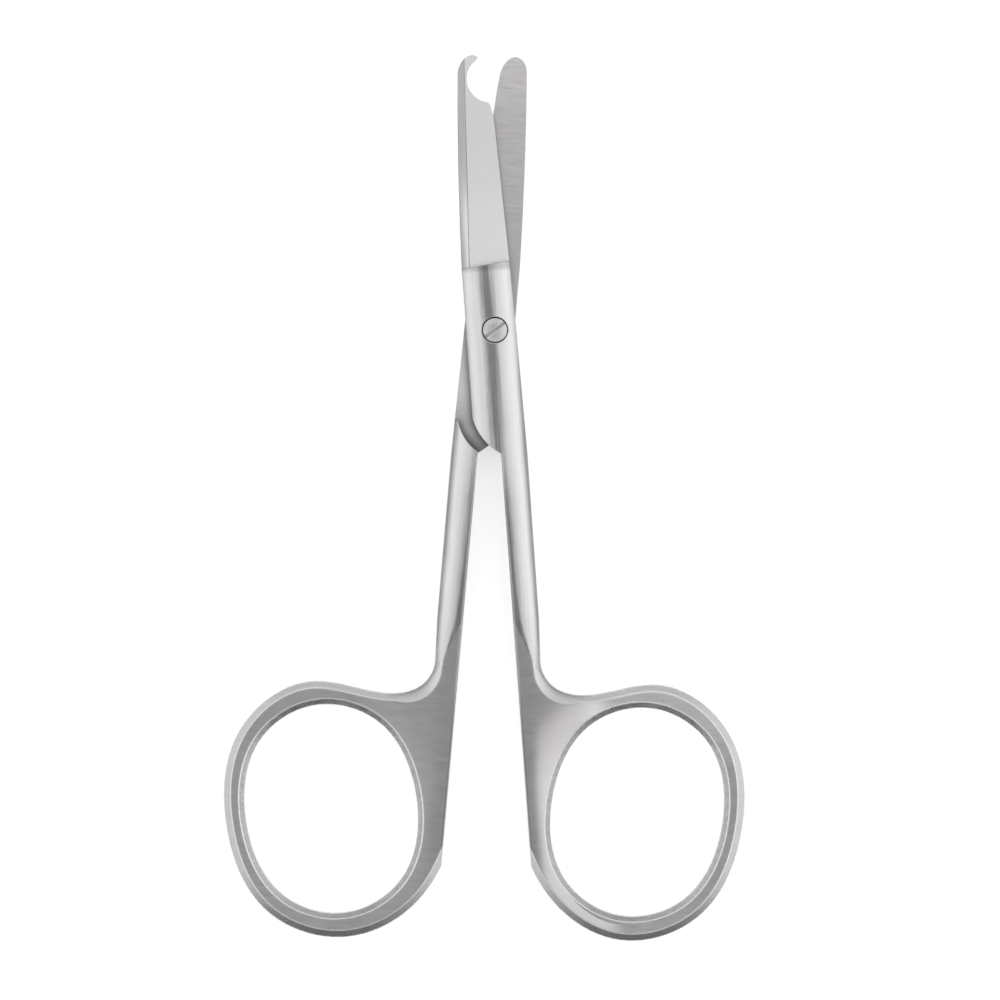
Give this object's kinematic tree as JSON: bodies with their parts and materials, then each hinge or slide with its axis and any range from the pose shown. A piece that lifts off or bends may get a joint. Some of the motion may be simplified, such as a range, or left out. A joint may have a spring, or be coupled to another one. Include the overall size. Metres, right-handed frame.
{
  "type": "suture scissors",
  "caption": "Slender suture scissors with oval finger rings, a crowned screw joint, a hooked blade that lifts the stitch and a plain blunt blade that cuts it.",
  "frame": {"origin": "on the pivot axis, at the flat end of the pivot screw, which lies level with the lowest line of the joint", "axes": "+Y towards the blade tips, +Z out of the slotted screw head, +X towards the side of the hooked half's ring; the shear plane is parallel to XY"},
  "size_m": [0.053, 0.0901, 0.0029],
  "materials": {
    "hooked_half": "satin brushed",
    "plain_half": "satin brushed",
    "pivot_screw": "satin turned"
  },
  "bodies": {
    "plain": {"plain_half": "plain_half", "pivot_screw": "pivot_screw"},
    "hooked": {"hooked_half": "hooked_half"}
  },
  "joints": [
    {"name": "pivot", "type": "hinge", "parent": "plain", "child": "hooked", "pos_m": [0, 0, 0.00145], "axis": [0, 0, 1], "range_deg": [-9.5, 80]}
  ]
}
